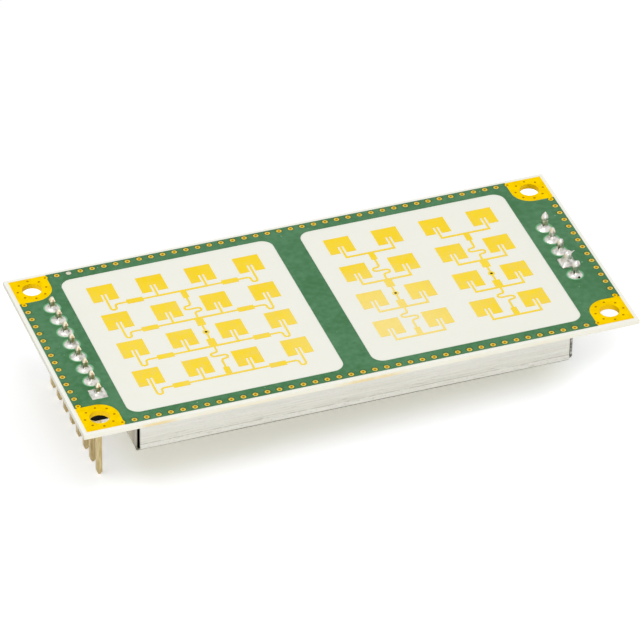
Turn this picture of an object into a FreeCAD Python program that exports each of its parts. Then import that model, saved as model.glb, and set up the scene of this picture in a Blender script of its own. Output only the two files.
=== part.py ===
import FreeCAD, Part
import math
import os

# Microwave radar sensor module: a printed antenna board that stands on two pin headers, with a
# folded shield can under it. Millimetres. X runs along the board, Z is up, and the origin lies
# under the board's centre at the level of the longer pins' tips.

# Board, from the bottom up
laminate_thickness = 0.64
copper_thickness = 0.035
mask_thickness = 0.025
bare_margin = 0.5            # laminate left bare outside the copper and the mask

# Mounting holes in the four corners
mount_hole_radius = 1.2      # inside the plating
mount_inset = 2.8            # hole centre from both board edges
corner_pad_radius = 2.4      # inner corner of the bare copper, rounded about the hole

# Stitching vias
via_pitch = 1.5
via_inset = 1.0              # via centres from the board edge
via_ring_diameter = 0.75
via_drill_diameter = 0.3
corner_via_circle = 1.8      # radius of the ring of vias round a mounting hole
corner_via_count = 8

# Windows in the ground copper, where the laminate lies bare under the antennas
end_band = 6.325             # from a window to the board's end
side_band = 2.2              # from a window to the board's long edge
rib_width = 3.55             # ground strip between the two windows
window_corner_radius = 1.5
transmit_margin_left = 2.7   # from the outer patches to their window's edges
transmit_margin_right = 2.5
receive_margin = 2.45
window_margin_back = 2.425
window_margin_front = 4.505

# Patch antennas: four columns to transmit, and twice two columns to receive
patch_length = 3.25
patch_width = 3.15
column_pitch = 6.2
row_pitch = 5.84
row_count = 4
array_columns = 4            # one array of four, or two arrays of two, in each window
notch_width = 0.75
notch_depth = 1.35
feed_width = 0.25
trunk_width = 0.3
trunk_drop = 2.58            # from a row's centre to its trunk line
transformer_length = 1.5
transformer_width = 1.0      # beside the feed via
end_section_width = 0.75     # at the outer trunks
delay_distance = 2.0         # from the inner trunk to the meander's centre
delay_reach = 0.6            # from the feed line to the centre of a meander's bump
bend_radius = 0.35
wide_section_length = 2.05   # in the trunk, between two transmit columns
wide_section_width = 0.85
wide_section_centre = 6.05   # from the array's centre line
feed_ring_diameter = 0.8
feed_drill_diameter = 0.33

# Pin headers
pin_pitch = 2.54
pin_width = 0.64
pin_taper = 0.45             # length of a pin's pointed end
pin_point_width = 0.28
header_inset = 4.0           # pin row from the board's end
header_body_height = 2.3
header_corner = 0.45         # chamfer where two ways meet
left_pin_count = 8
left_pin_drop = 8.95         # pin below its plastic body
left_pin_rise = 1.6          # pin above the board
right_pin_count = 5
right_pin_drop = 6.0
right_pin_rise = 1.7
left_square_pad = 0          # index of the pin with a square pad, counted from the front
right_square_pad = 1

# Solder joints
pin_hole_diameter = 1.0
pad_diameter = 2.0
collar_radius = 0.5          # where the solder ends on the pin
left_solder_rise = 0.55
right_solder_rise = 0.95
drop_radius = 0.45           # solder drops left on the tips of two of the right pins
drop_height = 1.1
rear_drop_overhang = 0.75    # top of the drop above its pin
front_drop_overhang = 0.375

# Shield can under the board, folded from sheet
can_gap_left = 1.18          # from the header bodies to the can's end flaps
can_gap_right = 3.03
can_edge_gap = 0.2           # can wall from the board's long edge
can_height = 3.55
can_sheet = 0.3
can_bend_radius = 0.65       # outside the fold
can_slot_left = 0.4          # open corners: long wall's end from the end flap's outer face
can_slot_right = 0.6

# Electronics inside the can: length, width and height of each package
transceiver_size = (5.0, 5.0, 0.85)
processor_size = (7.0, 7.0, 1.0)
amplifier_size = (5.0, 4.0, 1.2)
regulator_size = (3.0, 1.6, 1.1)
crystal_size = (3.2, 2.5, 0.8)
storage_capacitor_size = (3.5, 2.8, 1.9)
small_capacitor_size = (1.0, 0.5, 0.5)
small_resistor_size = (1.0, 0.5, 0.35)
small_part_pitch = 1.6
small_part_count = 6
chip_gap = 4.5               # between the large packages
part_gap = 1.2               # between a package and the smaller parts beside it

# Number of flat sides or steps that stand in for a small round shape
hole_sides = 6
feed_ring_sides = 8
solder_sides = 8
bend_steps = 2

# Levels
board_bottom = left_pin_drop + header_body_height
laminate_top = board_bottom + laminate_thickness
copper_top = laminate_top + copper_thickness
mask_top = copper_top + mask_thickness

# Board outline, built round the antennas and the bands beside them
array_length = (array_columns - 1) * column_pitch + patch_length
transmit_window = transmit_margin_left + array_length + transmit_margin_right
receive_window = array_length + 2 * receive_margin
window_height = (window_margin_front + (row_count - 1) * row_pitch + patch_width
                 + window_margin_back)
board_length = end_band + transmit_window + rib_width + receive_window + end_band
board_width = window_height + 2 * side_band
array_offset_y = (window_margin_front - window_margin_back) / 2
half_length = board_length / 2
half_width = board_width / 2
copper_x = half_length - bare_margin
copper_y = half_width - bare_margin
mount_x = half_length - mount_inset
mount_y = half_width - mount_inset
pin_row_x = half_length - header_inset

# The can fills the room between the two header bodies
can_left = -pin_row_x + pin_pitch / 2 + can_gap_left
can_right = pin_row_x - pin_pitch / 2 - can_gap_right
can_length = can_right - can_left
can_width = board_width - 2 * can_edge_gap
can_offset = (can_left + can_right) / 2

corners = [(sx, sy) for sx in (-1, 1) for sy in (-1, 1)]


def vector(x, y, z=0.0):
    return FreeCAD.Vector(x, y, z)


def flat_face(points):
    return Part.Face(Part.makePolygon(points + points[:1]))


def polygon_face(points):
    """Level face that looks up, whichever way round its points run."""
    turned = sum(a[0] * b[1] - b[0] * a[1] for a, b in zip(points, points[1:] + points[:1]))
    return flat_face([vector(x, y) for x, y in (points if turned > 0 else points[::-1])])


def rectangle(x0, y0, x1, y1):
    return polygon_face([(x0, y0), (x1, y0), (x1, y1), (x0, y1)])


def centred_rectangle(x, y, length, width):
    return rectangle(x - length / 2, y - width / 2, x + length / 2, y + width / 2)


def disc(x, y, radius):
    return Part.Face(Part.Wire(Part.makeCircle(radius, vector(x, y))))


def regular_points(x, y, diameter, sides):
    """Corners of a regular polygon with this distance across its flats."""
    reach = diameter / 2 / math.cos(math.pi / sides)
    turns = [(i + 0.5) * 2 * math.pi / sides for i in range(sides)]
    return [(x + reach * math.cos(a), y + reach * math.sin(a)) for a in turns]


def regular(x, y, diameter, sides):
    return polygon_face(regular_points(x, y, diameter, sides))


def rounded_rectangle(x0, y0, x1, y1, radius):
    block = rectangle(x0, y0, x1, y1).extrude(vector(0, 0, 1))
    upright = [e for e in block.Edges if abs(e.Vertexes[0].Z - e.Vertexes[1].Z) > 0.5]
    rounded = block.makeFillet(radius, upright)
    return [f for f in rounded.Faces if f.BoundBox.ZMax < 0.5][0]


def plate(face, bottom, top):
    lifted = face.copy()
    lifted.translate(vector(0, 0, bottom))
    return lifted.extrude(vector(0, 0, top - bottom))


def merged(faces):
    return faces[0].multiFuse(faces[1:]).removeSplitter()


def stacked_rings(rings):
    """Solid between closed rings of points that all have the same number of points."""
    count = len(rings[0])
    faces = [flat_face(rings[0]), flat_face(rings[-1])]
    for low, high in zip(rings, rings[1:]):
        for i in range(count):
            j = (i + 1) % count
            faces.append(flat_face([low[i], low[j], high[j]]))
            faces.append(flat_face([low[i], high[j], high[i]]))
    return Part.Solid(Part.Shell(faces)).removeSplitter()


# Where the round and square things on the board lie

def edge_vias():
    """Vias along the four edges, and the ones that join the corner pads."""
    steps_x = round((mount_x - corner_pad_radius) / via_pitch)
    steps_y = round((mount_y - corner_pad_radius) / via_pitch)
    row_x = half_length - via_inset
    row_y = half_width - via_inset
    along_x = [(i * via_pitch, s * row_y) for i in range(1 - steps_x, steps_x) for s in (-1, 1)]
    along_y = [(s * row_x, i * via_pitch) for i in range(1 - steps_y, steps_y) for s in (-1, 1)]
    necks_x = [(sx * steps_x * via_pitch, sy * row_y) for sx, sy in corners]
    necks_y = [(sx * row_x, sy * steps_y * via_pitch) for sx, sy in corners]
    return along_x + along_y, necks_x + necks_y


def corner_vias():
    turns = [i * 2 * math.pi / corner_via_count for i in range(corner_via_count)]
    return [(sx * mount_x + corner_via_circle * math.cos(a),
             sy * mount_y + corner_via_circle * math.sin(a)) for sx, sy in corners for a in turns]


def windows():
    """Left and right window as x0, y0, x1, y1."""
    y = window_height / 2
    left = end_band - half_length
    right = half_length - end_band
    return (left, -y, left + transmit_window, y), (right - receive_window, -y, right, y)


def pin_places(row_x, count):
    return [(row_x, (i - (count - 1) / 2) * pin_pitch) for i in range(count)]


left_pins = pin_places(-pin_row_x, left_pin_count)
right_pins = pin_places(pin_row_x, right_pin_count)
square_pads = (left_pins[left_square_pad], right_pins[right_square_pad])


def pad_outline(x, y):
    """Pad of a header pin: round, or square with the same width."""
    half = pad_diameter / 2
    points = []
    for i in range(solder_sides):
        a = (i + 0.5) * 2 * math.pi / solder_sides
        reach = half / math.cos(math.pi / solder_sides)
        if (x, y) in square_pads:
            reach = half / max(abs(math.cos(a)), abs(math.sin(a)))
        points.append((x + reach * math.cos(a), y + reach * math.sin(a)))
    return points


# Board

def laminate():
    board = plate(centred_rectangle(0, 0, board_length, board_width), board_bottom, laminate_top)
    outer = mount_hole_radius + copper_thickness
    holes = [plate(disc(sx * mount_x, sy * mount_y, outer), board_bottom, laminate_top)
             for sx, sy in corners]
    holes += [plate(regular(x, y, pin_hole_diameter, hole_sides), board_bottom, laminate_top)
              for x, y in left_pins + right_pins]
    return board.cut(holes)


def keepout(pins):
    """Gap in the ground copper round one row of header pads."""
    margin = pad_diameter / 2 + via_ring_diameter / 2
    x = pins[0][0]
    return rectangle(x - margin, pins[0][1] - margin, x + margin, pins[-1][1] + margin)


def ground_copper():
    """Top ground sheet with its windows and drilled vias, and the plated mounting holes."""
    necks = edge_vias()[1]
    sheet = centred_rectangle(0, 0, 2 * copper_x, 2 * copper_y)
    gaps = [rounded_rectangle(*w, window_corner_radius) for w in windows()]
    gaps += [keepout(left_pins), keepout(right_pins)]
    gaps += [disc(sx * mount_x, sy * mount_y, mount_hole_radius) for sx, sy in corners]
    gaps += [regular(x, y, via_drill_diameter, hole_sides) for x, y in necks + corner_vias()]
    copper = plate(sheet.cut(gaps).Faces[0], laminate_top, copper_top)
    barrels = []
    for sx, sy in corners:
        outer = disc(sx * mount_x, sy * mount_y, mount_hole_radius + copper_thickness)
        ring = outer.cut(disc(sx * mount_x, sy * mount_y, mount_hole_radius)).Faces[0]
        barrels.append(plate(ring, board_bottom, laminate_top))
    return copper.multiFuse(barrels).removeSplitter()


def corner_pad(sx, sy):
    """Bare copper at a corner: square, rounded inwards about the hole, and over two vias."""
    x = sx * mount_x
    y = sy * mount_y
    outer_x = sx * copper_x
    outer_y = sy * copper_y
    inner_x = x - sx * corner_pad_radius
    inner_y = y - sy * corner_pad_radius
    blocks = [rectangle(min(outer_x, inner_x), min(outer_y, y), max(outer_x, inner_x), max(outer_y, y)),
              rectangle(min(outer_x, x), min(outer_y, inner_y), max(outer_x, x), max(outer_y, inner_y))]
    necks = [n for n in edge_vias()[1] if n[0] * sx > 0 and n[1] * sy > 0]
    rings = [regular(nx, ny, via_ring_diameter, hole_sides) for nx, ny in necks]
    return merged([disc(x, y, corner_pad_radius)] + blocks + rings)


def solder_mask():
    edge = edge_vias()[0]
    sheet = centred_rectangle(0, 0, 2 * copper_x, 2 * copper_y)
    gaps = [corner_pad(sx, sy) for sx, sy in corners]
    gaps += [rounded_rectangle(*w, window_corner_radius) for w in windows()]
    gaps += [regular(x, y, via_ring_diameter, hole_sides) for x, y in edge]
    gaps += [polygon_face(pad_outline(x, y)) for x, y in left_pins + right_pins]
    return plate(sheet.cut(gaps).Faces[0], copper_top, mask_top)


# Patch antenna arrays

def strip(points, width):
    """Copper line of even width along a centre line, with mitred corners."""
    headings = [math.atan2(b[1] - a[1], b[0] - a[0]) for a, b in zip(points, points[1:])]
    left = []
    right = []
    for (x, y), arriving, leaving in zip(points, headings[:1] + headings, headings + headings[-1:]):
        half_turn = math.remainder(leaving - arriving, 2 * math.pi) / 2
        across = arriving + half_turn + math.pi / 2
        reach = width / 2 / math.cos(half_turn)
        left.append((x + reach * math.cos(across), y + reach * math.sin(across)))
        right.append((x - reach * math.cos(across), y - reach * math.sin(across)))
    return polygon_face(left + right[::-1])


def bend(x, y, radius, start, turn):
    """Points of a bend about x, y from one angle on, both in quarter turns."""
    steps = max(1, round(abs(turn) * bend_steps))
    angles = [(start + turn * i / steps) * math.pi / 2 for i in range(steps + 1)]
    return [(x + radius * math.cos(a), y + radius * math.sin(a)) for a in angles]


def meander(x, y, top, bottom):
    """Line down from top to bottom, with one bump to the left and one to the right at y."""
    r = bend_radius
    path = [(x, top)]
    path += bend(x - r, y + 3 * r, r, 0, -1)
    path += bend(x - delay_reach, y + r, r, 1, 2)
    path += bend(x + delay_reach, y - r, r, 1, -2)
    path += bend(x + r, y - 3 * r, r, 1, 1)
    path.append((x, bottom))
    return strip(path, feed_width)


def patch(x, y):
    """One radiating patch with the notch that its feed line enters."""
    front = y - patch_width / 2
    notch = rectangle(x - notch_width / 2, front, x + notch_width / 2, front + notch_depth)
    return centred_rectangle(x, y, patch_length, patch_width).cut(notch).Faces[0]


def row_feed(x, y, columns):
    """Trunk line under one row, and the lines from it up into the patches of that row."""
    trunk = y - trunk_drop
    entry = y - patch_width / 2 + notch_depth
    inner = column_pitch / 2
    faces = [strip([(x - inner, trunk), (x + inner, trunk)], trunk_width)]
    for side in (-1, 1):
        foot = trunk - trunk_width / 2
        faces.append(strip([(x + side * inner, entry), (x + side * inner, foot)], feed_width))
        if columns > 2:
            r = bend_radius
            outer = side * column_pitch * 1.5
            line = [(x + side * inner, trunk)]
            line += bend(x + outer - side * 3 * r, trunk - r, r, 1, side * -1)
            line += bend(x + outer - side * r, trunk - 2 * r, r, 1 + side, side * 2)
            faces.append(strip(line + [(x + outer, entry)], feed_width))
            faces.append(centred_rectangle(x + side * wide_section_centre, trunk,
                                           wide_section_length, wide_section_width))
    return faces


def patch_array(x, columns):
    """Patches, trunks and the centre line that feeds them from one via."""
    rows = [array_offset_y + (i - (row_count - 1) / 2) * row_pitch for i in range(row_count)]
    trunks = [y - trunk_drop for y in rows]
    inner = row_count // 2
    feed_y = (trunks[inner - 1] + trunks[inner]) / 2
    faces = []
    for y in rows:
        places = [x + (i - (columns - 1) / 2) * column_pitch for i in range(columns)]
        faces += [patch(px, y) for px in places] + row_feed(x, y, columns)
    faces.append(regular(x, feed_y, feed_ring_diameter, feed_ring_sides))
    faces.append(strip([(x, trunks[inner - 1]), (x, trunks[inner])], feed_width))
    for side, near, far in ((1, trunks[inner], trunks[-1]), (-1, trunks[inner - 1], trunks[0])):
        wide = near - side * transformer_length / 2
        end = far - side * transformer_length / 2
        faces.append(centred_rectangle(x, wide, transformer_width, transformer_length))
        faces.append(centred_rectangle(x, end, end_section_width, transformer_length))
        faces.append(meander(x, near + side * delay_distance, max(near, far), min(near, far)))
    drill = regular(x, feed_y, feed_drill_diameter, hole_sides)
    return plate(merged(faces).cut(drill).Faces[0], laminate_top, copper_top)


# Pin headers

def header_body(pins):
    half = pin_pitch / 2
    cut = half - header_corner
    outline = [(half, cut), (cut, half), (-cut, half), (-half, cut),
               (-half, -cut), (-cut, -half), (cut, -half), (half, -cut)]
    ways = [polygon_face([(x + px, y + py) for px, py in outline]) for x, y in pins]
    holes = [centred_rectangle(x, y, pin_width, pin_width) for x, y in pins]
    return plate(merged(ways).cut(holes).Faces[0], board_bottom - header_body_height, board_bottom)


def pin_profile(bottom, top):
    """Side view of a pin, across and up."""
    wide = pin_width / 2
    point = pin_point_width / 2
    return [(-wide, bottom + pin_taper), (-point, bottom), (point, bottom),
            (wide, bottom + pin_taper), (wide, top - pin_taper), (point, top),
            (-point, top), (-wide, top - pin_taper)]


def pin(x, y, drop, rise):
    bottom = board_bottom - header_body_height - drop
    outline = pin_profile(bottom, mask_top + rise)
    front = flat_face([vector(x + across, y - pin_width, z) for across, z in outline])
    side = flat_face([vector(x - pin_width, y + across, z) for across, z in outline])
    return front.extrude(vector(0, 2 * pin_width, 0)).common(side.extrude(vector(2 * pin_width, 0, 0)))


# Solder joints

def solder_ring(x, y, z, radius):
    points = regular_points(x, y, 2 * radius, solder_sides)
    return [vector(px, py, z) for px, py in points]


def solder_joint(x, y, rise, pin_shape):
    """Pad and solder fillet round one pin, and the solder that fills its hole."""
    pad = pad_outline(x, y)
    shoulder = pad_diameter / 2 - (pad_diameter / 2 - collar_radius) * 0.4
    rings = [[vector(px, py, laminate_top) for px, py in pad],
             solder_ring(x, y, mask_top + rise * 0.35, shoulder),
             solder_ring(x, y, mask_top + rise, collar_radius)]
    fill = plate(regular(x, y, pin_hole_diameter, hole_sides), board_bottom, laminate_top)
    return stacked_rings(rings).fuse(fill).cut(pin_shape)


def solder_drop(x, y, top, pin_shape):
    """Drop of solder that hangs on a pin's tip and covers it."""
    sections = ((-1.0, 0.75), (-0.65, 1.0), (-0.35, 0.8), (0.0, 0.2))
    rings = [solder_ring(x, y, top + level * drop_height, radius * drop_radius)
             for level, radius in sections]
    return stacked_rings(rings).cut(pin_shape)


# Shield can

def folded_wall(inner_height):
    """Section of a wall and its fold: outwards from the floor, then up."""
    r = can_bend_radius
    t = can_sheet
    cos45 = math.cos(math.pi / 4)
    outer = Part.Arc(vector(-r, 0, 0), vector(-r + r * cos45, 0, r - r * cos45), vector(0, 0, r))
    inner = Part.Arc(vector(-t, 0, r), vector(-r + (r - t) * cos45, 0, r - (r - t) * cos45),
                     vector(-r, 0, t))
    edges = [outer.toShape(), Part.makeLine(vector(0, 0, r), vector(0, 0, inner_height)),
             Part.makeLine(vector(0, 0, inner_height), vector(-t, 0, inner_height)),
             Part.makeLine(vector(-t, 0, inner_height), vector(-t, 0, r)), inner.toShape(),
             Part.makeLine(vector(-r, 0, t), vector(-r, 0, 0))]
    return Part.Face(Part.Wire(edges))


def can_wall(length, turn, reach):
    """One wall with its fold, this far out from the can's centre, turned about Z."""
    wall = folded_wall(can_height)
    wall.translate(vector(reach, -length / 2, 0))
    solid = wall.extrude(vector(0, length, 0))
    solid.rotate(vector(0, 0), vector(0, 0, 1), turn)
    return solid


def shield_can():
    flat_length = can_length - 2 * can_bend_radius
    flat_width = can_width - 2 * can_bend_radius
    parts = [centred_rectangle(0, 0, flat_length, flat_width).extrude(vector(0, 0, can_sheet))]
    parts += [can_wall(flat_width, turn, can_length / 2) for turn in (0, 180)]
    long_wall = can_length - can_slot_left - can_slot_right
    for turn in (90, 270):
        wall = can_wall(long_wall, turn, can_width / 2)
        wall.translate(vector((can_slot_left - can_slot_right) / 2, 0))
        parts.append(wall)
    can = parts[0].multiFuse(parts[1:]).removeSplitter()
    can.translate(vector(can_offset, 0, board_bottom - can_height))
    return can


# Electronics

def package(size, place):
    """Part seated on the board's underside."""
    length, width, height = size
    return plate(centred_rectangle(*place, length, width), board_bottom - height, board_bottom)


def beside(place, size, other_size, gap, across, along):
    """Centre of another package this gap away: across and along are -1, 0 or 1."""
    reach = [(size[i] + other_size[i]) / 2 + gap for i in (0, 1)]
    return place[0] + across * reach[0], place[1] + along * reach[1]


def small_parts(size, place):
    shifts = [(i - (small_part_count - 1) / 2) * small_part_pitch for i in range(small_part_count)]
    return Part.makeCompound([package(size, (place[0] + dx, place[1])) for dx in shifts])


left_window, right_window = windows()
transmit_x = left_window[0] + transmit_margin_left + array_length / 2
receive_x = right_window[0] + receive_margin + array_length / 2

transceiver_place = (can_offset, array_offset_y - trunk_drop)
processor_place = beside(transceiver_place, transceiver_size, processor_size, chip_gap, -1, 0)
amplifier_place = beside(transceiver_place, transceiver_size, amplifier_size, chip_gap, 1, 0)
regulator_place = beside(processor_place, processor_size, regulator_size, chip_gap, -1, 0)
storage_place = beside(regulator_place, regulator_size, storage_capacitor_size, part_gap, 0, 1)
crystal_place = beside(processor_place, processor_size, crystal_size, part_gap, 0, -1)
capacitor_place = beside(amplifier_place, amplifier_size, small_capacitor_size, part_gap, 0, 1)
resistor_place = beside(amplifier_place, amplifier_size, small_resistor_size, part_gap, 0, -1)

parts = {
    "board_laminate": laminate(),
    "ground_copper": ground_copper(),
    "solder_mask": solder_mask(),
    "transmit_patch_array": patch_array(transmit_x, 4),
    "receive_patch_array_a": patch_array(receive_x - column_pitch, 2),
    "receive_patch_array_b": patch_array(receive_x + column_pitch, 2),
    "shield_can": shield_can(),
    "left_header_body": header_body(left_pins),
    "right_header_body": header_body(right_pins),
    "radar_transceiver": package(transceiver_size, transceiver_place),
    "signal_processor": package(processor_size, processor_place),
    "baseband_amplifier": package(amplifier_size, amplifier_place),
    "voltage_regulator": package(regulator_size, regulator_place),
    "clock_crystal": package(crystal_size, crystal_place),
    "storage_capacitor": package(storage_capacitor_size, storage_place),
    "small_capacitors": small_parts(small_capacitor_size, capacitor_place),
    "small_resistors": small_parts(small_resistor_size, resistor_place),
}
for index, (x, y) in enumerate(left_pins, 1):
    shape = pin(x, y, left_pin_drop, left_pin_rise)
    parts["left_pin_%d" % index] = shape
    parts["left_solder_joint_%d" % index] = solder_joint(x, y, left_solder_rise, shape)
for index, (x, y) in enumerate(right_pins, 1):
    shape = pin(x, y, right_pin_drop, right_pin_rise)
    joint = solder_joint(x, y, right_solder_rise, shape)
    overhang = {1: front_drop_overhang, right_pin_count: rear_drop_overhang}.get(index)
    if overhang:
        drop = solder_drop(x, y, mask_top + right_pin_rise + overhang, shape)
        joint = Part.makeCompound([joint, drop])
    parts["right_pin_%d" % index] = shape
    parts["right_solder_joint_%d" % index] = joint

os.makedirs("parts", exist_ok=True)
for name, shape in parts.items():
    shape.exportStep("parts/%s.step" % name)
    print("%-26s solids %d  valid %s  volume %.3f" % (name, len(shape.Solids), shape.isValid(),
                                                     shape.Volume))
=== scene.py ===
# Looks of a microwave radar sensor module: board, copper, solder, pins and shield can
import bpy
import bmesh
import math
from mathutils import Euler, Matrix, Vector, noise


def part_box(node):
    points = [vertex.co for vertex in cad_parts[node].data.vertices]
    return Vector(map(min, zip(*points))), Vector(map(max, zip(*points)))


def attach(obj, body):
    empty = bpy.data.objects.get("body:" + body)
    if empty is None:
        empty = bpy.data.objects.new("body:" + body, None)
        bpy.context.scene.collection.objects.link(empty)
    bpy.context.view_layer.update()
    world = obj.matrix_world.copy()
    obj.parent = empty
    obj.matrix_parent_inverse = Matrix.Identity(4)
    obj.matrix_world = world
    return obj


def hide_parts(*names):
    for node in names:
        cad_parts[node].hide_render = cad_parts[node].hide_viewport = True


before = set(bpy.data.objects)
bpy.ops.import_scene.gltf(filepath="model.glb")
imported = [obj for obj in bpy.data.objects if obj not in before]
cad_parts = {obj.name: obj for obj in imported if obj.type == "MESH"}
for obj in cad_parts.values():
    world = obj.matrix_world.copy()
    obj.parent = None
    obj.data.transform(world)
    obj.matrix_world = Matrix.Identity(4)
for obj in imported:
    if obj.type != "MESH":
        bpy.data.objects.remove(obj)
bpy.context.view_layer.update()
mm = 0.001                                    # the sizes below are in millimetres


# Levels and outline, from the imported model

boardLow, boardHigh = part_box("board_laminate")
boardBottom, laminateTop = boardLow.z / mm, boardHigh.z / mm
halfLength, halfWidth = boardHigh.x / mm, boardHigh.y / mm
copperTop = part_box("transmit_patch_array")[1].z / mm
maskX, maskY, maskTop = (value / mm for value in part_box("solder_mask")[1])
canLow, canHigh = (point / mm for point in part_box("shield_can"))

vias = {
    "pitch": 1.5, "inset": 1.0, "ring": 0.345, "drill": 0.15, "circle": 1.8, "count": 8,
    "stepsX": 20, "stepsY": 7, "ringSides": 20, "drillSides": 14,
    "filledX": -27.0,                         # one via at the rear is full of solder
}
corner = {"holeInset": 2.8, "hole": 1.2, "holeSides": 48, "pad": 2.4, "padSides": 64, "plating": 0.035}
header = {
    "pitch": 2.54, "pad": 0.91, "squarePad": 0.97, "rim": 0.02, "clearing": 1.3, "padSides": 32,
    "pins": {"left": 8, "right": 5},
    "square": {"left": 0, "right": 1},        # index of the pin with a square pad
}
rowX = vias["stepsX"] * vias["pitch"]         # last via of each row
rowY = vias["stepsY"] * vias["pitch"]
edgeX = halfLength - vias["inset"]            # centre lines of the rows
edgeY = halfWidth - vias["inset"]


def viaPlaces():
    alongX = [(i * vias["pitch"], side * edgeY) for i in range(-vias["stepsX"], vias["stepsX"] + 1)
              for side in (-1, 1)]
    alongY = [(side * edgeX, i * vias["pitch"]) for i in range(-vias["stepsY"], vias["stepsY"] + 1)
              for side in (-1, 1)]
    return alongX + alongY


def isNeck(place):                            # vias that touch a corner pad
    return abs(abs(place[0]) - rowX) < 0.01 or abs(abs(place[1]) - rowY) < 0.01


def holePlaces():
    x = halfLength - corner["holeInset"]
    y = halfWidth - corner["holeInset"]
    return [(sideX * x, sideY * y) for sideX in (-1, 1) for sideY in (-1, 1)]


def cornerViaPlaces():
    angles = [math.tau * i / vias["count"] for i in range(vias["count"])]
    return [(x + vias["circle"] * math.cos(angle), y + vias["circle"] * math.sin(angle))
            for x, y in holePlaces() for angle in angles]


def pinPlaces(side):
    boxes = [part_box("%s_pin_%d" % (side, i + 1)) for i in range(header["pins"][side])]
    return [(low + high) / 2 / mm for low, high in boxes]


# Camera, as in the photograph

cameraView = {
    "place": (-191.77, -518.88, 423.36),
    "turn": (53.159, -0.699, -19.760),        # degrees
    "lens": 322.1,
}


def addCamera():
    data = bpy.data.cameras.new("photoCamera")
    data.sensor_width = 36.0
    data.lens = cameraView["lens"]
    data.clip_start = 0.01
    data.clip_end = 10.0
    camera = bpy.data.objects.new("photoCamera", data)
    camera.location = [value * mm for value in cameraView["place"]]
    camera.rotation_euler = Euler([math.radians(angle) for angle in cameraView["turn"]])
    bpy.context.scene.collection.objects.link(camera)
    bpy.context.scene.camera = camera


# Shader arithmetic

class Wire:                                   # a shader socket that takes Python arithmetic
    def __init__(self, shading, socket):
        self.shading = shading
        self.socket = socket

    def math(self, operation, *others):
        return self.shading.number(operation, self, *others)

    def __add__(self, other):
        return self.math("ADD", other)

    def __sub__(self, other):
        return self.math("SUBTRACT", other)

    def __rsub__(self, other):
        return self.shading.number("SUBTRACT", other, self)

    def __mul__(self, other):
        return self.math("MULTIPLY", other)

    def __neg__(self):
        return self.math("MULTIPLY", -1.0)

    def __abs__(self):
        return self.math("ABSOLUTE")

    __radd__ = __add__
    __rmul__ = __mul__

    def clamped(self):
        return self.math("MAXIMUM", 0.0).math("MINIMUM", 1.0)

    def band(self, low, high):                # 0 below low, 1 above high, smooth between
        settings = {"interpolation_type": "SMOOTHSTEP"}
        return self.shading.make("ShaderNodeMapRange", settings,
                                 {"Value": self, "From Min": low, "From Max": high})

    def fade(self, low, high):                # 1 below low, 0 above high
        return 1.0 - self.band(low, high)

    def hump(self, start, full, fading, end):     # 1 between full and fading
        return self.band(start, full) * self.fade(fading, end)

    def comb(self, pitch):                    # distance from the nearest multiple of pitch
        return self.math("PINGPONG", pitch / 2)


def distance(dx, dy):
    return (dx * dx + dy * dy).math("SQRT")


class Shading:                                # the nodes of a material or of the world
    def __init__(self, owner):
        owner.use_nodes = True
        self.tree = owner.node_tree

    def make(self, kind, settings, inputs, output=0):
        node = self.tree.nodes.new(kind)
        for key, value in settings.items():
            setattr(node, key, value)
        for key, value in inputs.items():
            self.put(node.inputs[key], value)
        return Wire(self, node.outputs[output])

    def put(self, socket, value):
        if isinstance(value, Wire):
            self.tree.links.new(value.socket, socket)
        elif socket.type == "RGBA":
            socket.default_value = (*value, 1.0)
        else:
            socket.default_value = value

    def number(self, operation, *values):
        return self.make("ShaderNodeMath", {"operation": operation}, dict(enumerate(values)))

    def mix(self, factor, first, second):
        inputs = {0: factor, 6: first, 7: second}
        return self.make("ShaderNodeMix", {"data_type": "RGBA"}, inputs, 2)

    def blend(self, factor, first, second):   # of two shaders
        return self.make("ShaderNodeMixShader", {}, {0: factor, 1: first, 2: second})

    def ray(self, kind):
        return self.make("ShaderNodeLightPath", {}, {}, kind)


class Finish(Shading):                        # one procedural material
    def __init__(self, name, **constants):
        self.material = bpy.data.materials.new(name)
        super().__init__(self.material)
        self.shader = self.tree.nodes["Principled BSDF"]
        self.feed(**constants)

    def feed(self, **values):
        for name, value in values.items():
            self.put(self.shader.inputs[socketNames[name]], value)

    def place(self, stretch=(1.0, 1.0, 1.0)):     # object coordinates in millimetres
        coordinates = self.make("ShaderNodeTexCoord", {}, {}, "Object")
        scale = [value / mm for value in stretch]
        return self.make("ShaderNodeMapping", {}, {"Vector": coordinates, "Scale": scale})

    def axes(self, vector):
        return [self.make("ShaderNodeSeparateXYZ", {}, {"Vector": vector}, i) for i in range(3)]

    def facing(self):                             # the surface's direction, in the part's own axes
        return self.axes(self.make("ShaderNodeTexCoord", {}, {}, "Normal"))

    def cloud(self, vector, scale, detail=3.0, roughness=0.5):
        inputs = {"Vector": vector, "Scale": scale, "Detail": detail, "Roughness": roughness}
        return self.make("ShaderNodeTexNoise", {}, inputs)

    def bump(self, height, distance, strength=1.0):
        inputs = {"Height": height, "Distance": distance * mm, "Strength": strength}
        self.feed(normal=self.make("ShaderNodeBump", {}, inputs))


socketNames = {
    "colour": "Base Color", "roughness": "Roughness", "metallic": "Metallic", "normal": "Normal",
    "coat": "Coat Weight", "coatRoughness": "Coat Roughness",
    "specular": "Specular IOR Level", "tint": "Specular Tint",
}


def tone(red, green, blue):                   # a colour as a paint chart gives it, 0 to 255
    return tuple((v / 12.92 if v <= 0.04045 else ((v + 0.055) / 1.055) ** 2.4)
                 for v in (red / 255, green / 255, blue / 255))


# Finishes

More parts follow.
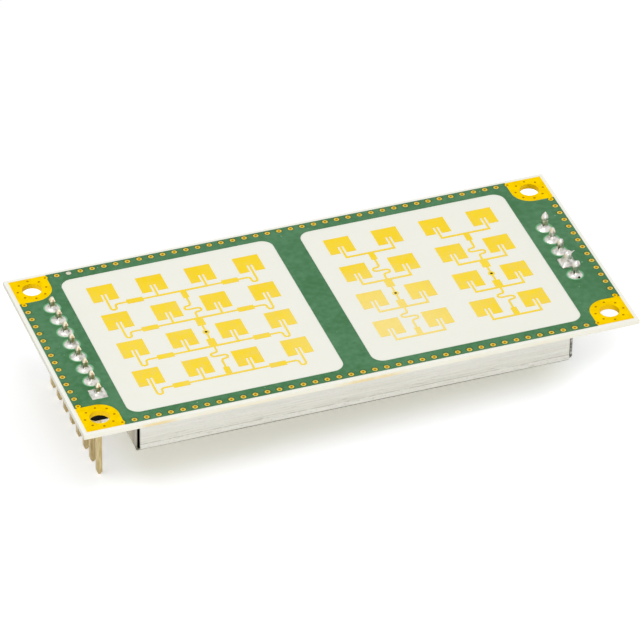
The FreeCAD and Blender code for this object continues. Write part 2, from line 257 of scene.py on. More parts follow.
turned = (0.4, 0.6)                           # a surface that turns to face an axis
laminateLook = {
    "face": tone(240, 240, 229), "rim": tone(246, 245, 236), "side": tone(243, 241, 226),
    "leftSideShade": tone(226, 224, 210), "resist": tone(52, 112, 76), "bareRim": 0.5,
    "stain": tone(240, 217, 156),
    "stainHeight": (0.2, 0.55),               # above the board's underside
    "stains": ((-28.6, -26.8, -25.0, -22.6, 0.8), (-5.0, -1.0, 2.0, 7.0, 0.75)),   # along X, strength
}


def laminateFinish():
    f = Finish("creamLaminate", roughness=0.55, specular=0.4)
    where = f.place()
    x, y, z = f.axes(where)
    across, along, up = f.facing()
    rimX, rimY = halfLength - laminateLook["bareRim"], halfWidth - laminateLook["bareRim"]
    mottle = f.cloud(where, 0.35, 4.0).band(0.35, 0.75)
    colour = f.mix(mottle * 0.2, laminateLook["face"], laminateLook["rim"])
    outer = abs(x).band(rimX, rimX + 0.2) + abs(y).band(rimY, rimY + 0.2)
    colour = f.mix(outer.clamped() * 0.9, colour, laminateLook["rim"])
    colour = f.mix(abs(up).fade(*turned), colour, laminateLook["side"])
    # painted shade: the board's left side face is darker than its front face
    colour = f.mix((-across).band(*turned), colour, laminateLook["leftSideShade"])
    inStain = 0.0
    for start, full, fading, end, strength in laminateLook["stains"]:
        inStain = x.hump(start, full, fading, end) * strength + inStain
    patchy = f.cloud(where, 0.6, 3.0).band(0.2, 0.55)
    faint = f.cloud(where, 0.12, 2.0).band(0.45, 0.7) * 0.3
    low = (z - boardBottom).fade(*laminateLook["stainHeight"])
    stain = (inStain * patchy + faint).clamped() * low * (-along).band(*turned)
    colour = f.mix(stain, colour, laminateLook["stain"])
    inner = abs(x).fade(rimX - 0.01, rimX + 0.01) * abs(y).fade(rimY - 0.01, rimY + 0.01)
    f.feed(colour=f.mix((-up).band(*turned) * inner, colour, laminateLook["resist"]))
    glass = f.cloud(f.place((1.0, 6.0, 6.0)), 1.1, 2.0)
    f.bump(glass * 0.6 + mottle * 0.4, 0.012, 0.5)
    return f.material


maskLook = {
    "colour": tone(26, 103, 44), "thin": tone(64, 124, 78), "dust": tone(150, 190, 160),
    "halo": tone(122, 196, 138), "haloReach": (0.97, 1.16),   # light ring round each pad
    "pads": ((-31.0, 1.27, 10.0), (31.0, 0.0, 6.2)),          # row, one pad, end of the row
    "shade": tone(14, 66, 26), "shadeReach": (0.38, 0.5),     # painted shade: a dark ring round each via, at the mask's edge
}


def maskFinish():
    f = Finish("greenSolderMask", specular=0.4, coat=0.1, coatRoughness=0.15)
    where = f.place()
    x, y = f.axes(where)[:2]
    broad = f.cloud(where, 0.16, 3.0)
    fine = f.cloud(where, 1.4, 4.0)
    colour = f.mix((broad * 0.6 + fine * 0.6).band(0.4, 0.8), maskLook["colour"], maskLook["thin"])
    halo = 0.0
    for row, pad, end in maskLook["pads"]:
        away = distance(x - row, (y - pad).comb(header["pitch"]))
        halo = away.fade(*maskLook["haloReach"]) * abs(y).fade(end, end + 0.2) + halo
    colour = f.mix(halo * 0.9, colour, maskLook["halo"])
    # painted shade round each via, at the edge of the mask's opening
    shade = 0.0
    for along, off in ((x, abs(y) - edgeY), (y, abs(x) - edgeX)):
        shade = distance(along.comb(vias["pitch"]), off).fade(*maskLook["shadeReach"]) + shade
    colour = f.mix(shade.clamped() * 0.75, colour, maskLook["shade"])
    dust = f.cloud(where, 2.2, 1.0).band(0.76, 0.8)
    f.feed(colour=f.mix(dust * 0.6, colour, maskLook["dust"]), roughness=fine * 0.12 + 0.34)
    f.bump(f.cloud(where, 2.4, 3.0), 0.006, 0.4)
    return f.material


goldLook = {
    "deep": tone(244, 202, 0), "bright": tone(252, 217, 6), "barrel": tone(253, 208, 14),
    "ring": tone(232, 206, 96), "edgeTint": (1.0, 0.8, 0.1),
    "rowEdge": (1.6, 1.5),                    # the vias' rows, from the board's edge
    "endX": (29.0, 29.4), "endY": (9.5, 9.9),
}


def goldFinish():
    f = Finish("immersionGold", metallic=1.0, tint=goldLook["edgeTint"])
    where = f.place()
    x, y, z = f.axes(where)
    outer, inner = goldLook["rowEdge"]
    wall = (z - laminateTop).fade(-0.06, 0.0)
    mottle = f.cloud(where, 0.9, 4.0).band(0.3, 0.7)
    colour = f.mix(mottle, goldLook["deep"], goldLook["bright"])
    inRowX = abs(y).band(halfWidth - outer, halfWidth - inner) * abs(x).fade(*goldLook["endX"])
    inRowY = abs(x).band(halfLength - outer, halfLength - inner) * abs(y).fade(*goldLook["endY"])
    colour = f.mix((inRowX + inRowY).clamped(), colour, goldLook["ring"])
    f.feed(colour=f.mix(wall, colour, goldLook["barrel"]), roughness=mottle * 0.1 + 0.4,
           metallic=1.0 - wall * 0.6)
    f.bump(f.cloud(where, 3.2, 3.0), 0.01, 0.35)
    return f.material


patchLook = {
    "deep": tone(246, 212, 2), "bright": tone(248, 219, 58), "worn": tone(242, 213, 70),
    "speckle": tone(238, 212, 116), "deepAtRear": (-13.0, 0.0),
    "pale": tone(246, 225, 142), "palePlace": (5.5, -8.5), "paleReach": (2.0, 15.0),
}


def patchFinish():
    f = Finish("thinGold", metallic=1.0)
    where = f.place()
    x, y = f.axes(where)[:2]
    broad = f.cloud(where, 0.22, 2.0).band(0.35, 0.65)
    brushed = f.cloud(f.place((1.2, 5.0, 1.0)), 0.9, 4.0, 0.7).band(0.45, 0.8)
    speckle = f.cloud(where, 1.3, 5.0, 0.75).band(0.42, 0.62)
    front = (-y).band(*patchLook["deepAtRear"])
    pale = distance(x - patchLook["palePlace"][0], y - patchLook["palePlace"][1])
    pale = pale.fade(*patchLook["paleReach"])
    colour = f.mix(broad * 0.4 + front * 0.6, patchLook["deep"], patchLook["bright"])
    colour = f.mix(brushed * 0.45, colour, patchLook["worn"])
    colour = f.mix(speckle * (front * 0.35 + 0.15), colour, patchLook["speckle"])
    f.feed(colour=f.mix(pale * (0.9 - speckle * 0.25), colour, patchLook["pale"]),
           roughness=brushed * 0.12 + 0.42)
    f.bump(brushed, 0.006, 0.4)
    return f.material


steelLook = {
    "plain": tone(223, 221, 209), "bright": tone(239, 238, 229), "streak": tone(180, 176, 160),
    # the inside tone is painted shade for the can's inner faces
    # the scratch tone also darkens the creases, as painted shade
    "scratchAndCreaseShade": tone(124, 118, 104), "inside": tone(62, 54, 34),
    "lower": (1.0, 2.4), "belowRimLight": (1.6, 0.5),      # zones above the can's floor and below its rim; the one below the rim carries painted light against the board's shade
    # painted shade on the fold at the can's foot, and how high it reaches
    "fold": tone(96, 92, 76), "foldShadeHeight": (0.12, 0.38),
    "foldShadeMiddle": (1.0, 10.0, 12.0, 3.0),          # where the painted shade on the fold is darkest, from the can's ends
    "strip": (0.88, 0.98),
    # the creases are crinkles in the sheet; their dark lines are painted shade
    "creases": ((0.98, 0.05, 1.0, 1.0), (1.28, 0.03, 0.45, 1.3)),   # height, width, strength, grain
    "flapEdge": tone(112, 108, 98), "flapShade": tone(176, 170, 156), "flapShadeFrom": (13.0, 15.0),
}


def steelFinish():
    f = Finish("brushedTinnedSteel", metallic=1.0)
    x, y, z = f.axes(f.place())
    rise = z - canLow.z
    wall = canLook["sheet"]
    lines = f.cloud(f.place((0.06, 0.06, 3.2)), 1.6, 6.0, 0.75)
    patches = f.cloud(f.place((0.25, 0.25, 1.0)), 0.5, 3.0)
    grain = f.cloud(f.place((1.0, 1.0, 2.4)), 3.0, 3.0, 0.7)
    scratches = f.cloud(f.place((0.3, 0.3, 5.5)), 1.6, 3.0, 0.6).band(0.6, 0.7)
    wobble = f.cloud(f.place((0.2, 0.2, 0.0)), 0.6, 3.0) * 0.24 - 0.12
    height = rise - wobble
    crease = 0.0
    for level, width, strength, scale in steelLook["creases"]:
        near = abs(height - level).fade(width * 0.4, width * 1.8)
        broken = f.cloud(f.place((0.8, 0.8, 0.0)), scale, 4.0).band(0.32, 0.58)
        crease = near * broken * strength + crease
    strip = height.fade(*steelLook["strip"])
    lower = rise.fade(*steelLook["lower"])
    # painted light on the wall just below its rim, where the board shades it
    belowRimLight = (z - canHigh.z).band(-steelLook["belowRimLight"][0], -steelLook["belowRimLight"][1])
    colour = f.mix(lines.band(0.3, 0.75), steelLook["plain"], steelLook["bright"])
    colour = f.mix(patches.band(0.5, 0.8) * 0.3, colour, steelLook["streak"])
    colour = f.mix((strip * 0.35 + belowRimLight * 0.4).clamped(), colour, steelLook["bright"])
    colour = f.mix(grain.band(0.5, 0.75) * (strip * 0.35 + 0.2), colour, steelLook["streak"])
    colour = f.mix(scratches * (lower * 0.2 + 0.12), colour, steelLook["scratchAndCreaseShade"])
    # painted shade along the creases
    colour = f.mix((crease * 0.4).clamped(), colour, steelLook["scratchAndCreaseShade"])

    # painted shade on the fold, darkest along its middle and not on the underside
    start, full, fading, end = steelLook["foldShadeMiddle"]
    middle = x.hump(canLow.x + start, canLow.x + full, canHigh.x - fading, canHigh.x - end)
    down = -f.facing()[2]
    fold = rise.fade(*steelLook["foldShadeHeight"]) * down.fade(0.93, 0.97)
    colour = f.mix(fold * (middle * 0.65 + 0.3), colour, steelLook["fold"])

    # cut edges of the end flaps, and the shade behind the left slot
    beads = f.cloud(f.place((0.0, 0.0, 1.0)), 1.7, 2.0).band(0.35, 0.6) * 0.7 + 0.3
    onFlap = x.band(canHigh.x - wall - 0.04, canHigh.x - wall)
    colour = f.mix(onFlap * beads, colour, steelLook["flapEdge"])
    nearSlot = x.fade(canLow.x + wall, canLow.x + wall + 0.04) * (-y).band(*steelLook["flapShadeFrom"])
    colour = f.mix(nearSlot * 0.7, colour, steelLook["flapShade"])

    # painted shade: the can's inner faces, seen through its open corners, are dark
    outer, inner = wall - 0.03, wall - 0.01
    innerShade = abs(y).fade(canHigh.y - inner, canHigh.y - outer) * rise.band(outer, inner)
    innerShade = innerShade * x.hump(canLow.x + outer, canLow.x + inner, canHigh.x - inner, canHigh.x - outer)
    f.feed(colour=f.mix(innerShade, colour, steelLook["inside"]), roughness=lines * 0.2 + 0.36)
    f.bump(lines - crease - scratches * 0.5 + grain * 0.5, 0.03, 0.5)
    return f.material


pinLook = {
    "brass": tone(248, 230, 180), "dull": tone(222, 198, 142), "tin": tone(228, 222, 206),
    "streak": tone(172, 132, 62), "base": tone(70, 58, 36), "row": 31.0,
    "streakPlace": 0.04, "streakWidth": (0.09, 0.17), "streakTop": (1.25, 1.5),
    "darkSide": (-0.2, -0.02), "footTop": (0.55, 1.15),
}


def pinFinish():
    f = Finish("paleBrassPin", metallic=1.0)
    where = f.place()
    x, z = f.axes(where)[::2]
    rise = z - maskTop
    above = rise.band(0.0, 0.1)
    grain = f.cloud(f.place((3.0, 3.0, 0.35)), 1.6, 4.0).band(0.3, 0.75)
    onRight = x.band(0.0, 0.1)
    across = x - onRight * (2 * pinLook["row"]) + pinLook["row"]      # from the row's middle
    across = across + (f.cloud(where, 1.1, 2.0) * 0.3 - 0.15)
    streak = abs(across - pinLook["streakPlace"]).fade(*pinLook["streakWidth"])
    streak = streak * rise.fade(*pinLook["streakTop"])
    foot = above * rise.fade(*pinLook["footTop"]) * across.fade(*pinLook["darkSide"])
    colour = f.mix(grain, pinLook["dull"], pinLook["brass"])
    colour = f.mix(above * 0.85, colour, pinLook["tin"])
    colour = f.mix(above * streak * (0.75 - onRight * 0.5), colour, pinLook["streak"])
    colour = f.mix((foot * (onRight * 0.3 + 0.6)).clamped(), colour, pinLook["base"])
    f.feed(colour=colour, roughness=grain * 0.15 + 0.3)
    f.bump(grain, 0.01, 0.3)
    return f.material


solderLook = {"tin": tone(224, 221, 216), "shade": tone(168, 165, 158)}


def solderFinish():
    f = Finish("brightSolder", metallic=1.0)
    where = f.place()
    dull = f.cloud(where, 1.5, 4.0).band(0.45, 0.75)
    f.feed(colour=f.mix(dull, solderLook["tin"], solderLook["shade"]), roughness=dull * 0.2 + 0.36)
    f.bump(f.cloud(where, 2.2, 2.0), 0.05, 0.3)
    return f.material


def mouldedFinish(name, colour, other, roughness, specular=0.4):
    f = Finish(name, specular=specular)
    where = f.place()
    speckle = f.cloud(where, 5.0, 3.0).band(0.4, 0.7)
    f.feed(colour=f.mix(speckle, colour, other), roughness=speckle * 0.15 + roughness)
    f.bump(f.cloud(where, 8.0, 2.0), 0.01, 0.4)
    return f.material


def hollowFinish(name, colour):
    f = Finish(name, metallic=0.0, specular=0.05, roughness=0.7)
    blot = f.cloud(f.place(), 2.0)
    f.feed(colour=f.mix(blot, colour, tuple(0.7 * value for value in colour)))
    return f.material


# Mesh helpers

def addObject(name, bm, *materials):
    mesh = bpy.data.meshes.new(name)
    bm.to_mesh(mesh)
    bm.free()
    for material in materials:
        mesh.materials.append(material)
    made = bpy.data.objects.new(name, mesh)
    bpy.context.scene.collection.objects.link(made)
    return made


def addPiece(name, bm, material, slot, *replaced):
    piece = addObject(name, bm, material)
    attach(piece, "root")
    if replaced:
        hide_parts(*replaced)


def addBlock(bm, low, high):
    centre = (Vector(low) + Vector(high)) / 2 * mm
    size = (Vector(high) - Vector(low)) * mm
    matrix = Matrix.Translation(centre) @ Matrix.Diagonal((*size, 1.0))
    return bmesh.ops.create_cube(bm, size=1.0, matrix=matrix)["verts"]


def addDrum(bm, x, y, radius, low, high, sides):
    matrix = Matrix.Translation((x * mm, y * mm, (low + high) / 2 * mm))
    bmesh.ops.create_cone(bm, cap_ends=True, segments=sides, radius1=radius * mm,
                          radius2=radius * mm, depth=(high - low) * mm, matrix=matrix)


def turn(bm, x, y, outline, sides, closed=False):   # spins radii and levels about an upright axis
    start = [bm.verts.new(((x + radius) * mm, y * mm, level * mm)) for radius, level in outline]
    pairs = list(zip(start, start[1:]))
    if closed:
        pairs.append((start[-1], start[0]))
    edges = [bm.edges.new(pair) for pair in pairs]
    bmesh.ops.spin(bm, geom=start + edges, cent=(x * mm, y * mm, 0), axis=(0, 0, 1),
                   angle=math.tau, steps=sides, use_merge=True)


def cutWith(bm, cutters):                     # takes each cutter's solids out of the mesh
    blank = addObject("blank", bm)
    tools = [addObject("cutter", cutter) for cutter in cutters]
    for tool in tools:
        modifier = blank.modifiers.new("cut", "BOOLEAN")
        modifier.operation = "DIFFERENCE"
        modifier.solver = "EXACT"
        modifier.object = tool
    bpy.context.view_layer.update()
    evaluated = blank.evaluated_get(bpy.context.evaluated_depsgraph_get())
    result = bmesh.new()
    result.from_mesh(evaluated.to_mesh())
    evaluated.to_mesh_clear()
    for item in tools + [blank]:
        bpy.data.meshes.remove(item.data)     # its object goes with it
    return result


def smoothTurned(bm, limit):                  # smooth shading, with real corners kept sharp
    for face in bm.faces:
        face.smooth = True
    for edge in bm.edges:
        edge.smooth = len(edge.link_faces) == 2 and edge.calc_face_angle(0.0) < limit


# Solder mask and copper

windows = {
    "endBand": 6.325, "rib": (-1.625, 1.925), "half": 13.8, "corner": 1.5, "steps": 10,
}
copper = {"edge": 0.02, "windowGap": 0.04}    # how far the copper stays behind the mask
cutLow, cutHigh = laminateTop - 1.0, maskTop + 1.0


def windowBlocks(bm, gap):
    ribLeft, ribRight = windows["rib"]
    outer = halfLength - windows["endBand"]
    half = windows["half"] + gap
    for left, right in ((-outer, ribLeft), (ribRight, outer)):
        verts = addBlock(bm, (left - gap, -half, cutLow), (right + gap, half, cutHigh))
        upright = [edge for edge in bm.edges if edge.verts[0] in verts
                   and abs(edge.verts[0].co.z - edge.verts[1].co.z) > mm]
        bmesh.ops.bevel(bm, geom=upright, offset=(windows["corner"] + gap) * mm,
                        segments=windows["steps"], affect="EDGES", profile=0.5, material=-1)


def cornerCutters():
    radius, beyond = corner["pad"], 5.0       # beyond the hole's centre, past the board's corner
    discs, blocksX, blocksY, necks = (bmesh.new() for i in range(4))
    for x, y in holePlaces():
        sideX, sideY = math.copysign(1, x), math.copysign(1, y)
        outX, outY = x + sideX * beyond, y + sideY * beyond
        addDrum(discs, x, y, radius, cutLow, cutHigh, corner["padSides"])
        for bm, inX, inY in ((blocksX, x - sideX * radius, y), (blocksY, x, y - sideY * radius)):
            addBlock(bm, (min(inX, outX), min(inY, outY), cutLow),
                     (max(inX, outX), max(inY, outY), cutHigh))
        for neckX, neckY in ((rowX, edgeY), (edgeX, rowY)):
            addDrum(necks, sideX * neckX, sideY * neckY, vias["ring"], cutLow, cutHigh,
                    vias["ringSides"])
    return [discs, blocksX, blocksY, necks]


def makeMask():
    bm = bmesh.new()
    addBlock(bm, (-maskX, -maskY, laminateTop), (maskX, maskY, maskTop))
    openings = bmesh.new()
    windowBlocks(openings, 0.0)
    for x, y in viaPlaces():
        if not isNeck((x, y)):
            addDrum(openings, x, y, vias["ring"], cutLow, cutHigh, vias["ringSides"])
    for side in ("left", "right"):
        for index, place in enumerate(pinPlaces(side)):
            if index == header["square"][side]:
                reach = header["squarePad"] + header["rim"]
                addBlock(openings, (place.x - reach, place.y - reach, cutLow),
                         (place.x + reach, place.y + reach, cutHigh))
            else:
                reach = header["pad"] + header["rim"]
                addDrum(openings, place.x, place.y, reach, cutLow, cutHigh, header["padSides"])
    mask = cutWith(bm, [openings] + cornerCutters())
    addPiece("solderMaskSheet", mask, maskFinish(), "solder_mask", "solder_mask")


def makeCopper():
    bm = bmesh.new()
    outX, outY, clear = maskX - copper["edge"], maskY - copper["edge"], header["clearing"]
    addBlock(bm, (-outX, -outY, laminateTop), (outX, outY, copperTop))
    openings = bmesh.new()
    windowBlocks(openings, copper["windowGap"])
    for side in ("left", "right"):
        places = pinPlaces(side)
        addBlock(openings, (places[0].x - clear, places[0].y - clear, cutLow),
                 (places[0].x + clear, places[-1].y + clear, cutHigh))
    for x, y in viaPlaces() + cornerViaPlaces():
        addDrum(openings, x, y, vias["drill"], cutLow, cutHigh, vias["drillSides"])
    for x, y in holePlaces():
        addDrum(openings, x, y, corner["hole"], cutLow, cutHigh, corner["holeSides"])
    sheet = cutWith(bm, [openings])
    outer = corner["hole"] + corner["plating"]
    for x, y in holePlaces():                 # plated walls of the mounting holes
        tube = ((corner["hole"], boardBottom), (outer, boardBottom),
                (outer, laminateTop), (corner["hole"], laminateTop))
        turn(sheet, x, y, tube, corner["holeSides"], closed=True)
    bmesh.ops.recalc_face_normals(sheet, faces=sheet.faces)
    addPiece("goldCopperSheet", sheet, goldFinish(), "gold_plating", "ground_copper")


# discs over the drilled vias: the hollows are painted shade for the holes' dark insides, and the rims
# are partly the plating's own colour and partly painted shade
fillings = {                                  # radius, height over the laminate, finish and colour
    "viaRims": (0.185, 0.0365, "viaBronze", tone(214, 162, 26)),
    "viaHollows": (0.085, 0.0385, "viaShade", tone(160, 106, 12)),
    "cornerHollows": (0.155, 0.008, "cornerHoleShade", tone(196, 134, 4)),
    "filledVia": (0.34, 0.0385, "solderPlug", tone(236, 232, 208)),
    "feedHollows": (0.19, 0.004, "feedShade", tone(24, 14, 6)),
}
feedY = -1.54


def makeFillings():
    filled = (vias["filledX"], edgeY)
    arrays = ("transmit_patch_array", "receive_patch_array_a", "receive_patch_array_b")
    edgeVias = [place for place in viaPlaces() if not isNeck(place) and place != filled]
    boxes = [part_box(array) for array in arrays]
    places = {
        "viaRims": edgeVias, "viaHollows": edgeVias,
        "cornerHollows": cornerViaPlaces() + [place for place in viaPlaces() if isNeck(place)],
        "filledVia": [filled],
        "feedHollows": [((low + high).x / 2 / mm, feedY) for low, high in boxes],
    }
    for name, (radius, height, finishName, colour) in fillings.items():
        bm = bmesh.new()
        for x, y in places[name]:
            addDrum(bm, x, y, radius, laminateTop, laminateTop + height, vias["drillSides"])
        addPiece(name, bm, hollowFinish(finishName, colour), "gold_plating")


# Solder joints

mounds = {                                    # rise and fall at the pin, dome over the pad
    "left": [{"rise": 0.42, "fall": 0.13, "dome": 0.14, "rough": 0.04}] * 8,
    "right": [
        {"rise": 0.42, "fall": 0.12, "dome": 0.12, "rough": 0.05},
        {"rise": 1.15, "fall": 0.3, "dome": 0.2, "rough": 0.12},
        {"rise": 0.55, "fall": 0.2, "dome": 0.22, "rough": 0.06},
        {"rise": 0.6, "fall": 0.22, "dome": 0.26, "rough": 0.06},
        {"rise": 0.3, "fall": 0.2, "dome": 0.34, "rough": 0.06},
    ],
}
moundShape = {
    "inner": 0.36, "levels": 14, "sides": 40,       # inner is the radius at the pin
    "swell": 1.3, "swellEnd": 0.98, "lift": 4.0,    # unevenness: its scale, where it ends, its strength
}
drops = [                                     # radius and height of each drop, and how it leans
    [([(0.34, 0.2), (0.4, 0.9), (0.48, 1.3), (0.5, 1.55), (0.36, 1.85), (0.02, 2.02)], (0.15, 0.0))],
    [([(0.6, 0.2), (0.52, 0.9), (0.46, 1.4), (0.36, 1.7), (0.02, 1.8)], (0.0, 0.0)),
     ([(0.3, 1.2), (0.22, 1.45), (0.02, 1.6)], (0.9, 0.1))],
    [([(0.3, 0.2), (0.34, 0.9), (0.37, 1.4), (0.26, 1.7), (0.02, 1.8)], (0.14, 0.0))],
    [([(0.42, 0.2), (0.4, 0.8), (0.36, 1.3), (0.2, 1.6), (0.02, 1.8)], (0.1, 0.05))],
    [([(0.2, 1.2), (0.42, 1.36), (0.47, 1.6), (0.36, 1.95), (0.12, 2.3), (0.02, 2.45)], (0.06, 0.0))],
]
dropShape = {"sides": 24, "waver": 0.06, "waverScale": 2.0}
pit = {"offset": (0.24, -0.72, 0.02), "radius": 0.17}   # from the middle of the pad
sharpAngle = 1.2                              # radians


def solderMound(bm, x, y, look, square, seed):
    pad = header["squarePad"] if square else header["pad"]
    inner, levels = moundShape["inner"], moundShape["levels"]
    outline = []
    for i in range(levels + 1):
        radius = pad + (inner - pad) * i / levels
        height = look["rise"] * math.exp(-(radius - inner) / look["fall"])
        height = height + look["dome"] * (1 - (radius / pad) ** 2)
        outline.append((radius, copperTop + max(height, 0.0)))
    turn(bm, x, y, outline, moundShape["sides"])
    centre = Vector((x * mm, y * mm, 0.0))
    for vert in bm.verts:
        offset = (vert.co - centre).xy / mm
        reach = offset.length / pad
        if reach < moundShape["swellEnd"]:
            swell = noise.noise(Vector((*(offset * moundShape["swell"]), seed)))
            vert.co.z += swell * look["rough"] * (1 - reach) * moundShape["lift"] * mm
        if square:                            # drawn out to the pad's corners
            stretch = offset.length / max(abs(offset.x), abs(offset.y))
            grow = 1 + (stretch - 1) * reach ** 2
            vert.co.x = centre.x + offset.x * grow * mm
            vert.co.y = centre.y + offset.y * grow * mm


def solderDrop(bm, x, y, outline, lean, seed):
    others = set(bm.verts)
    turn(bm, x, y, [(radius, maskTop + height) for radius, height in outline], dropShape["sides"])
    low, high = outline[0][1], outline[-1][1]
    scale = dropShape["waverScale"]
    for vert in set(bm.verts) - others:
        share = (vert.co.z / mm - maskTop - low) / (high - low)
        vert.co.x += lean[0] * share ** 2 * mm
        vert.co.y += lean[1] * share ** 2 * mm
        waver = noise.noise(Vector((vert.co.z / mm * scale, seed, vert.co.y / mm)))
        vert.co.x += waver * dropShape["waver"] * mm


def makeSolder():
    finish = solderFinish()
    for side in ("left", "right"):
        for index, place in enumerate(pinPlaces(side)):
            bm = bmesh.new()
            square = index == header["square"][side]
            solderMound(bm, place.x, place.y, mounds[side][index], square, index * 3.7 + len(side))
            if side == "right":
                for outline, lean in drops[index]:
                    solderDrop(bm, place.x, place.y, outline, lean, index * 2.1)
            rims = [edge for edge in bm.edges if edge.is_boundary]
            ends = bmesh.ops.holes_fill(bm, edges=rims)["faces"]
            bmesh.ops.recalc_face_normals(bm, faces=bm.faces)
            smoothTurned(bm, sharpAngle)
            for edge in {edge for face in ends for edge in face.edges}:
                edge.smooth = False
            addPiece("%sSolder%d" % (side, index + 1), bm, finish, "solder",
                     "%s_solder_joint_%d" % (side, index + 1))


def makePit():                                # dark pit in the front right joint
    place = pinPlaces("right")[0]
    centre = Vector((place.x, place.y, copperTop)) + Vector(pit["offset"])
    bm = bmesh.new()
    bmesh.ops.create_uvsphere(bm, u_segments=16, v_segments=8, radius=pit["radius"] * mm,
                              matrix=Matrix.Translation(centre * mm))
    smoothTurned(bm, sharpAngle)
    addPiece("solderPit", bm, hollowFinish("pitShade", tone(52, 46, 34)), "solder")


# Shield can: one folded sheet, open at its four upright corners

canLook = {
    "sheet": 0.3, "fold": 0.3, "foldSteps": 5,
    "slotLeft": 0.5, "slotRight": 0.6, "slotDepth": 0.58, "toe": 0.3,   # the left slots end above a toe
}


def makeCan():
    sheet, depth = canLook["sheet"], canLook["slotDepth"]
    shell = bmesh.new()
    addBlock(shell, canLow, canHigh)
    middle = (canLow.z + canHigh.z) / 2 * mm
    folds = [edge for edge in shell.edges if all(vert.co.z < middle for vert in edge.verts)]
    bmesh.ops.bevel(shell, geom=folds, offset=canLook["fold"] * mm, segments=canLook["foldSteps"],
                    affect="EDGES", profile=0.5, material=-1)
    inside = bmesh.new()
    addBlock(inside, canLow + Vector((sheet, sheet, sheet)), canHigh + Vector((-sheet, -sheet, 1.0)))
    corners = bmesh.new()
    for left, right, foot in ((canLow.x - 1, canLow.x + canLook["slotLeft"], canLook["toe"]),
                              (canHigh.x - canLook["slotRight"], canHigh.x + 1, -1.0)):
        for front, back in ((canLow.y - 1, canLow.y + depth), (canHigh.y - depth, canHigh.y + 1)):
            addBlock(corners, (left, front, canLow.z + foot), (right, back, canHigh.z + 1))
    addPiece("foldedCan", cutWith(shell, [inside, corners]), steelFinish(), "can_steel", "shield_can")


# Pieces of the model that keep their shape

def dressNodes():
    black = mouldedFinish("blackNylon", tone(10, 7, 5), tone(20, 16, 13), 0.7, 0.12)
    chip = mouldedFinish("chipResin", tone(30, 30, 32), tone(44, 44, 46), 0.6)
    gold = patchFinish()
    looks = {
        "board_laminate": laminateFinish(),
        "transmit_patch_array": gold, "receive_patch_array_a": gold, "receive_patch_array_b": gold,
        "left_header_body": black, "right_header_body": black,
        "radar_transceiver": chip, "signal_processor": chip, "baseband_amplifier": chip,
        "voltage_regulator": chip,
        "clock_crystal": steelFinish(),
        "storage_capacitor": mouldedFinish("yellowResin", tone(214, 170, 60), tone(198, 152, 48), 0.45),
        "small_capacitors": mouldedFinish("tanCeramic", tone(190, 158, 122), tone(176, 142, 108), 0.4),
        "small_resistors": mouldedFinish("blackGlaze", tone(26, 26, 28), tone(60, 60, 60), 0.3),
    }
    pins = pinFinish()
    for name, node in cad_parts.items():
        look = looks.get(name, pins if "_pin_" in name else None)
        if look:
            node.data.materials.clear()
            node.data.materials.append(look)


# Floor and light

floorLook = {
    "radius": 110.0, "drop": 0.03, "fade": (50.0, 95.0), "colour": (0.9, 0.9, 0.91),
    "glow": (1.0, 1.0, 1.0), "warm": (1.0, 0.977, 0.78),
    "warmX": (24.0, 30.0), "warmFront": (9.0, 15.0),
    "lift": 0.25,                             # glow that only the camera sees, and where it grows
    "front": (9.0, 14.0), "frontLift": 0.14, "right": (22.0, 33.0), "rightLift": 0.27,
    "under": (28.0, 33.0), "underLift": 0.03, "pins": (24.0, 28.0, 30.0, 34.0), "pinsLift": 0.07,
}
lights = {
    "sky": 0.74,
    "key": {"place": (-0.25, -0.1, 0.6), "size": 0.5, "power": 1.15},       # metres, watts
    "fill": {"place": (-0.12, -0.85, 0.16), "size": 0.6, "power": 1.3},
}


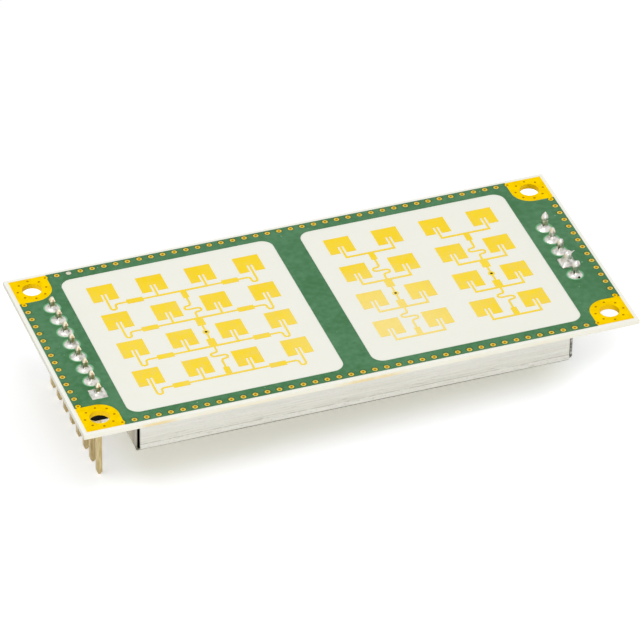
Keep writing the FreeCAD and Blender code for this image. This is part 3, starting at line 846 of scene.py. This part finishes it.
def floorFinish():
    f = Finish("paleFloor", colour=floorLook["colour"], roughness=0.9, specular=0.0)
    x, y = f.axes(f.place())[:2]
    lift = (-y).band(*floorLook["front"]) * floorLook["frontLift"]
    lift = lift + x.band(*floorLook["right"]) * floorLook["rightLift"]
    lift = lift + abs(x).fade(*floorLook["under"]) * floorLook["underLift"]
    lift = lift + (-x).hump(*floorLook["pins"]) * floorLook["pinsLift"]
    shaded = abs(x).fade(*floorLook["warmX"]) * (-y).fade(*floorLook["warmFront"])
    glow = f.make("ShaderNodeEmission", {}, {"Color": floorLook["glow"]})
    warm = f.make("ShaderNodeEmission", {}, {"Color": floorLook["warm"]})
    dark = f.make("ShaderNodeEmission", {}, {"Strength": 0.0})
    tinted = f.blend(shaded, glow, warm)
    added = f.blend(f.ray("Is Camera Ray") * (lift + floorLook["lift"]), dark, tinted)
    surface = f.make("ShaderNodeAddShader", {}, {0: Wire(f, f.shader.outputs[0]), 1: added})
    far = distance(x, y).band(*floorLook["fade"])
    f.put(f.tree.nodes["Material Output"].inputs["Surface"], f.blend(far, surface, glow))
    return f.material


def makeFloor():                              # tilted, just under the tips of both rows of pins
    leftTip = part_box("left_pin_1")[0]
    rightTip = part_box("right_pin_1")[0]
    tilt = math.atan2(rightTip.z - leftTip.z, rightTip.x - leftTip.x)
    bm = bmesh.new()
    bmesh.ops.create_circle(bm, cap_ends=True, segments=96, radius=floorLook["radius"] * mm)
    bmesh.ops.rotate(bm, verts=bm.verts, cent=(leftTip.x, 0, 0), matrix=Matrix.Rotation(-tilt, 3, "Y"))
    bmesh.ops.translate(bm, verts=bm.verts, vec=(0, 0, -floorLook["drop"] * mm))
    floor = addObject("floor", bm, floorFinish())


def makeLight():
    world = bpy.data.worlds.new("studio")
    bpy.context.scene.world = world
    sky = Shading(world)
    seen = sky.ray("Is Camera Ray").math("MAXIMUM", sky.ray("Is Glossy Ray"))
    background = sky.tree.nodes["Background"]
    sky.put(background.inputs["Color"], (1.0, 1.0, 1.0))
    sky.put(background.inputs["Strength"], seen * (1.0 - lights["sky"]) + lights["sky"])
    for name in ("key", "fill"):
        data = bpy.data.lights.new(name + "Light", "AREA")
        data.shape = "DISK"
        data.size = lights[name]["size"]
        data.energy = lights[name]["power"]
        lamp = bpy.data.objects.new(name + "Light", data)
        lamp.location = lights[name]["place"]
        lamp.rotation_euler = (-lamp.location).to_track_quat("-Z", "Y").to_euler()
        lamp.visible_camera = False
        bpy.context.scene.collection.objects.link(lamp)
    bpy.context.scene.view_settings.view_transform = "Standard"


addCamera()
print("camera placed")
makeMask()
makeCopper()
makeFillings()
print("mask and copper sheets cut")
makeSolder()
makePit()
print("solder joints made")
makeCan()
print("shield can folded")
dressNodes()
print("finishes given to the other pieces")
makeFloor()
makeLight()
print("floor and light set")
